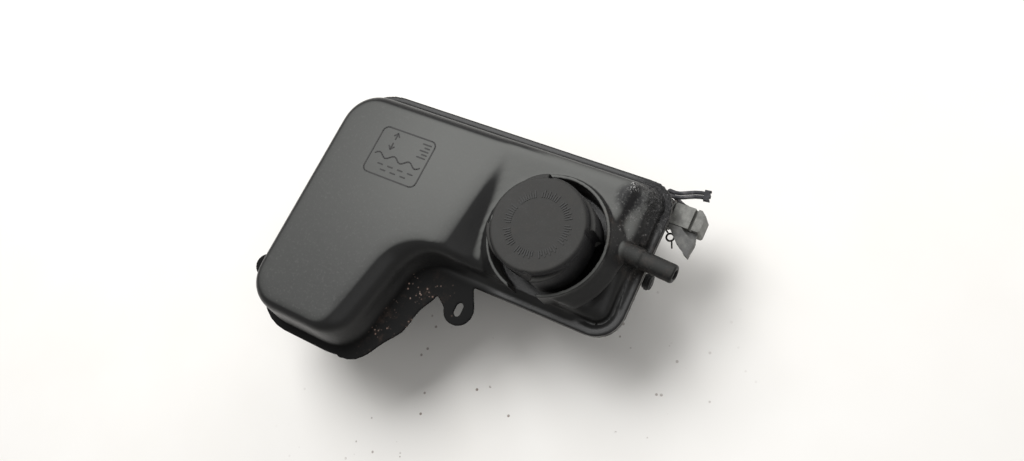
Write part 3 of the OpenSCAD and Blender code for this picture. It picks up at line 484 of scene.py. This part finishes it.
def add_lower_shell(material):
    piece = copy_of("lower_shell", "lower_shell_skin")
    remeshed(piece, 1.0)
    x, y, z = triples(piece.data, "co").T
    below_rim = 1 - rise(z, JOINT_H - 9 * MM, JOINT_H - 5 * MM)
    left_end = 1 - rise(x, -176 * MM, -170 * MM)
    by_spout = left_end * (1 - rise(np.hypot(y - SPOUT_Y, z - SPOUT_Z), 14 * MM, 18 * MM))
    right_end = rise(x, 40 * MM, 46 * MM)
    softened(piece, below_rim * (1 - by_spout) * (1 - right_end), 24, 120000)
    dressed(piece, material, "tank", ["lower_shell"])


def add_cap(material):
    piece = copy_of("cap_cover", "cap_skin")
    remeshed(piece, 0.42)
    smoothed(piece, np.ones(len(piece.data.vertices)), 5)
    thinned(piece, 120000)
    dressed(piece, material, "cap", ["cap_cover"])


def add_spring(node, body):
    """A copy of a spring, with a mesh of its own, attached to the body that carries it."""
    piece = copy_of(node, node + "_coil")
    dressed(piece, nodes[node].data.materials[0], body, [node])
    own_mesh(piece)


# Raised marks: lines of small blocks
class Marks:
    """Lines of blocks on a plane, from low to high above it."""

    def __init__(self, plane, width, low, high):
        self.verts, self.faces = [], []
        self.plane, self.width, self.low, self.high = plane, width, low, high

    def bar(self, start, end):
        """Outline of a straight bar with rounded ends, counterclockwise."""
        arc_steps = 4
        along = (end - start).normalized()
        heading = math.atan2(along.y, along.x)
        half = self.width / 2
        outline = []
        for centre, turn in ((end, heading - math.pi / 2), (start, heading + math.pi / 2)):
            for k in range(arc_steps + 1):
                a = turn + math.pi * k / arc_steps
                outline.append((centre.x + half * math.cos(a), centre.y + half * math.sin(a)))
        return outline

    def line(self, *points):
        """Blocks along points that are given in mm."""
        places = [Vector(point) * MM for point in points]
        for start, end in zip(places, places[1:]):
            outline = self.bar(start, end)
            first, count = len(self.verts), len(outline)
            for height in (self.low, self.high):
                self.verts.extend(self.plane @ Vector((px, py, height)) for px, py in outline)
            self.faces.append([first + k for k in range(count - 1, -1, -1)])
            self.faces.append([first + count + k for k in range(count)])
            for k in range(count):
                after = (k + 1) % count
                self.faces.append([first + k, first + after, first + count + after, first + count + k])

    def add_piece(self, name, material, body):
        mesh = bpy.data.meshes.new(name)
        mesh.from_pydata([tuple(v) for v in self.verts], [], self.faces)
        mesh.update()
        mesh.materials.append(material)
        piece = linked(name, mesh)
        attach(piece, body)


def add_cap_ticks(material):
    """A ring of plain ticks, long and short by turns and in groups, a hair above the disc."""
    groups, per_group, pitch = 8, 8, math.radians(4.6)
    inner, outer, short = 16.6, 20.6, 19.2
    ticks = Marks(Matrix.Identity(4), 0.72 * MM, CAP_TOP - 0.3 * MM, CAP_TOP + 0.35 * MM)
    for group in range(groups):
        for k in range(per_group):
            a = 2 * math.pi * group / groups + (k - (per_group - 1) / 2) * pitch
            out = Vector((math.cos(a), math.sin(a)))
            ticks.line(out * inner, out * (outer if k % 2 == 0 else short))
    ticks.add_piece("cap_ticks", material, "cap")


def add_level_mark(material):
    """Generic level sign on the lobe: a framed gauge with a wavy level and bars."""
    place_x, place_y = -118 * MM, 14 * MM
    lobe_top = LOBE_BACK_H + math.tan(LOBE_TILT) * (LOBE_BACK_Y - place_y)
    plane = Matrix.Translation((place_x, place_y, lobe_top)) @ Matrix.Rotation(-LOBE_TILT, 4, "X")
    mark = Marks(plane, 0.9 * MM, -0.4 * MM, 0.22 * MM)

    # All in mm from here on. The frame, with round corners
    half_w, half_h, corner, corner_steps = 21, 17, 4, 4
    loop = []
    for side_x, side_y, start in ((1, 1, 0), (-1, 1, 90), (-1, -1, 180), (1, -1, 270)):
        for k in range(corner_steps + 1):
            a = math.radians(start + 90 * k / corner_steps)
            loop.append((side_x * (half_w - corner) + corner * math.cos(a),
                         side_y * (half_h - corner) + corner * math.sin(a)))
    mark.line(*loop, loop[0])

    # The wavy level
    inset, wave_y, wave_h, waves, wave_steps = 3, -3, 1.6, 3, 24
    wave = []
    for k in range(wave_steps + 1):
        t = k / wave_steps
        wave.append(((2 * t - 1) * (half_w - inset), wave_y + wave_h * math.sin(2 * math.pi * waves * t)))
    mark.line(*wave)

    # The gauge's bars at the right
    bars, lowest, bar_pitch, long_bar, short_bar = 5, 4, 2.4, 6, 3.5
    for k in range(bars):
        height = lowest + bar_pitch * k
        reach = long_bar if k % 2 == 0 else short_bar
        mark.line((half_w - inset, height), (half_w - inset - reach, height))

    # Two arrows, down and up
    arrow_x, arrow_y, gap, reach, wing_x, wing_y = -9, 8.5, 1.5, 6, 2, 2.2
    for side in (-1, 1):
        tip_y = arrow_y + side * reach
        mark.line((arrow_x, arrow_y + side * gap), (arrow_x, tip_y))
        for wing in (-1, 1):
            mark.line((arrow_x, tip_y), (arrow_x + wing * wing_x, tip_y - side * wing_y))

    # Two rows of dashes below the level
    dash, dash_pitch = 3.5, 8
    for dashes, first_x, row_y in ((4, -12, -9), (3, -8, -12.5)):
        for k in range(dashes):
            dash_x = first_x + dash_pitch * k
            mark.line((dash_x, row_y), (dash_x + dash, row_y))
    mark.add_piece("level_mark", material, "tank")


# Leads: the routes repeat the part's own, in mm
LEAD_D = 2.5 * MM
LEAD_EXIT_Y = 55.3
LEAD_ROUTES = {
    "sensor_lead_a": [
        (61, LEAD_EXIT_Y, 47.4), (60.8, 56.6, 47.4), (59.4, 57.4, 47.4), (57.2, 57.7, 47.4),
        (54.8, 58.6, 47.3), (52.4, 59.8, 47.1), (49.6, 60.8, 47.1), (47.3, 61.9, 47.9), (45.8, 62.2, 49.6),
        (45.4, 62.4, 51.8), (46.5, 62.2, 53.9), (48.6, 61.6, 55.4), (51, 61.3, 56.1), (53.5, 61.7, 56.1),
        (56, 62.9, 55.8), (58.7, 64.2, 55.5), (62, 65.7, 55.2), (65.6, 66.8, 55), (70.4, 67.6, 54.6),
    ],
    "sensor_lead_b": [
        (57.4, LEAD_EXIT_Y, 44.5), (57.2, 56.5, 44.5), (56.2, 57.2, 44.5), (54.4, 57.9, 44.4),
        (52, 58.5, 44.3), (49.2, 58.6, 44.6), (46.9, 59, 45.9), (45.4, 59.6, 48.2), (44.9, 59.7, 50.9),
        (46, 59.3, 53.4), (48.2, 58.8, 55.2), (51.2, 58.5, 56.1), (54.3, 59.1, 56), (57.1, 60.3, 55.8),
        (59.9, 61.7, 55.5), (63, 63.1, 55.2), (66.3, 64.1, 55), (70.9, 64.9, 54.6),
    ],
}


def add_lead(node, material):
    points = [Vector(p) * MM for p in LEAD_ROUTES[node]]
    data = bpy.data.curves.new(node + "_wire", "CURVE")
    data.dimensions = "3D"
    data.bevel_depth = LEAD_D / 2
    data.bevel_resolution = 4
    data.use_fill_caps = True
    data.resolution_u = 6
    spline = data.splines.new("POLY")
    spline.points.add(len(points) - 1)
    for point, place in zip(spline.points, points):
        point.co = (*place, 1)
    data.materials.append(material)
    lead = linked(node + "_wire", data)
    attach(lead, "plug")
    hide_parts(node)


# Floor, backdrop and light
FLOOR_HALF = 3.0
LIGHT_AIM = Vector((-0.05, 0, 0.05))


def add_floor():
    corners = [(side_x * FLOOR_HALF, side_y * FLOOR_HALF, 0)
               for side_x, side_y in ((-1, -1), (1, -1), (1, 1), (-1, 1))]
    mesh = bpy.data.meshes.new("floor")
    mesh.from_pydata(corners, [], [(0, 1, 2, 3)])
    floor = linked("floor", mesh)
    s = Shader("floor_paint", (0.80, 0.78, 0.745), roughness=0.85, specular=0.2)
    s.paint((0.86, 0.85, 0.83), s.noise(120, detail=3))
    # Brown grit scattered in front of the bay
    rare = s.band(s.noise(30, detail=3), 0.52, 0.6)
    s.paint((0.16, 0.1, 0.075), s.specks(9.0, 0.13, 0.09), rare, s.near(FLOOR_IN_BAY, 0.8), 0.85)
    floor.data.materials.append(s.finish())


def add_light(name, place, size, power):
    data = bpy.data.lights.new(name, "AREA")
    data.shape = "RECTANGLE"
    data.size, data.size_y = size
    data.energy = power
    light = linked(name, data)
    light.location = place
    light.rotation_euler = (LIGHT_AIM - Vector(place)).to_track_quat("-Z", "Y").to_euler()


def add_world():
    world = bpy.data.worlds.new("world")
    bpy.context.scene.world = world
    world.use_nodes = True
    background = world.node_tree.nodes["Background"]
    background.inputs["Color"].default_value = (1, 0.99, 0.97, 1)
    background.inputs["Strength"].default_value = 0.3


# Shades of what several pieces share: the main one, and the one that it wears or tarnishes to
VALVE_GREY = (0.05, 0.05, 0.052), (0.08, 0.08, 0.082)
BLACK_RUBBER = (0.012, 0.012, 0.012), (0.03, 0.03, 0.03)
RED_RUBBER = (0.12, 0.03, 0.02), (0.2, 0.06, 0.04)
STEEL = (0.55, 0.56, 0.57), (0.35, 0.33, 0.3)
PALE_PLASTIC = (0.55, 0.53, 0.45), (0.7, 0.68, 0.6)

add_camera()
lead_rubber = rubber("lead_rubber", (0.03, 0.03, 0.034), (0.11, 0.105, 0.11))
for lead_name in LEAD_ROUTES:
    add_lead(lead_name, lead_rubber)

materials = {
    "lower_shell": shell_plastic(),
    "cap_cover": cap_plastic(),
    "valve_housing": dusty_plastic("valve_plastic", *VALVE_GREY),
    "spring_stop": dusty_plastic("stop_plastic", *VALVE_GREY),
    "neck_gasket": rubber("gasket_rubber", *BLACK_RUBBER),
    "valve_o_ring": rubber("o_ring_rubber", *BLACK_RUBBER),
    "pressure_gasket": rubber("seat_rubber", *BLACK_RUBBER),
    "peg_grommet": rubber("grommet_rubber", (0.012, 0.012, 0.012), (0.045, 0.045, 0.045)),
    "sensor_seal": rubber("sensor_seal_rubber", *RED_RUBBER),
    "plug_seal": rubber("plug_seal_rubber", *RED_RUBBER),
    "pressure_spring": metal("spring_steel", *STEEL),
    "vacuum_spring": metal("small_spring_steel", *STEEL),
    "float_clip": metal("clip_steel", *STEEL),
    "retaining_clip": metal("clip_wire", (0.05, 0.05, 0.05), (0.09, 0.07, 0.06), roughness=0.5),
    "sensor_pins": metal("contact_metal", (0.62, 0.5, 0.28), (0.4, 0.3, 0.18)),
    "pressure_plate": dusty_plastic("plate_plastic", *PALE_PLASTIC),
    "vacuum_valve": dusty_plastic("poppet_plastic", *PALE_PLASTIC),
    "level_float": dusty_plastic("float_plastic", (0.5, 0.47, 0.38), (0.68, 0.65, 0.56)),
    "float_magnet": dusty_plastic("magnet_ferrite", (0.06, 0.06, 0.065), (0.11, 0.11, 0.115)),
    "sensor_body": dusty_plastic("sensor_plastic", (0.06, 0.06, 0.058), (0.13, 0.13, 0.122)),
    "plug_housing": dusty_plastic("plug_plastic", (0.1, 0.1, 0.092), (0.2, 0.2, 0.185)),
    "lead_sleeve": rubber("sleeve_rubber", (0.03, 0.03, 0.034), (0.09, 0.09, 0.095)),
}
for node_name, material in materials.items():
    mesh = nodes[node_name].data
    mesh.materials.clear()
    mesh.materials.append(material)

add_upper_shell(materials["lower_shell"])
add_lower_shell(materials["lower_shell"])
add_cap(materials["cap_cover"])
add_spring("pressure_spring", "valve_unit")
add_spring("vacuum_spring", "pressure_valve")
mark_plastic = dusty_plastic("mark_plastic", (0.004, 0.004, 0.004), (0.014, 0.013, 0.012))
add_level_mark(mark_plastic)
add_cap_ticks(mark_plastic)
add_floor()
add_world()
add_light("key", (-0.62, 0.42, 1.35), (1.0, 1.0), 23)
add_light("back", (0.1, 1.3, 0.8), (1.4, 0.5), 7)
add_light("fill", (1.1, -0.3, 1.2), (1.2, 1.2), 4)

bpy.context.scene.view_settings.view_transform = "Standard"
